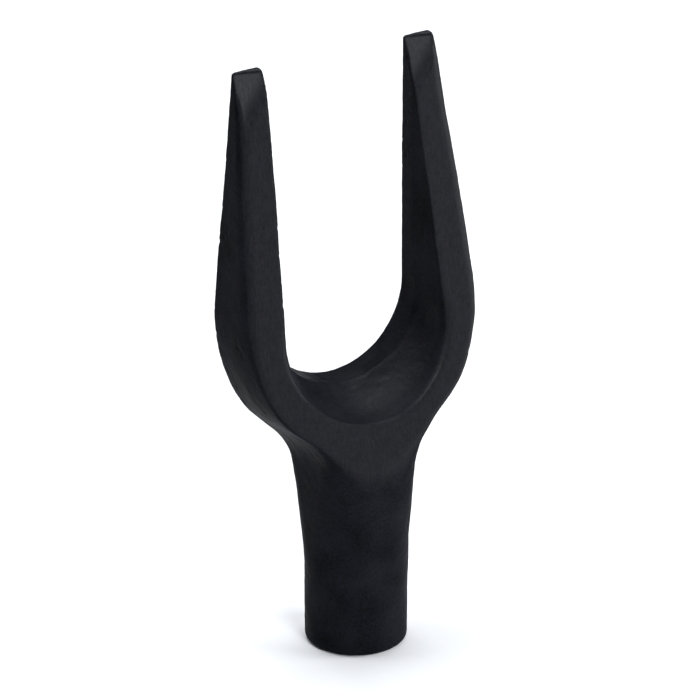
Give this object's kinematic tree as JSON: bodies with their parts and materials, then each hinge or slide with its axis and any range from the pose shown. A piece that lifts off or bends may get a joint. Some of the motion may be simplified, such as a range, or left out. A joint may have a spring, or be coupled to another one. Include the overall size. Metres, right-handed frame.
{
  "type": "separator fork head",
  "caption": "Forged steel wedge fork with tapered tines, a U-shaped yoke and a round driver boss with a blind socket.",
  "frame": {"origin": "centre of the boss's lower face, in the plane that the head stands on", "axes": "+Z from the boss to the tips of the tines, +Y out of the flat back face, +X across the gap from tine to tine"},
  "size_m": [0.0656, 0.0254, 0.1507],
  "materials": {
    "blackened_steel": "thin satin black finish on forged skin and ground faces"
  },
  "bodies": {
    "root": {"fork_head": "blackened_steel"}
  },
  "joints": []
}
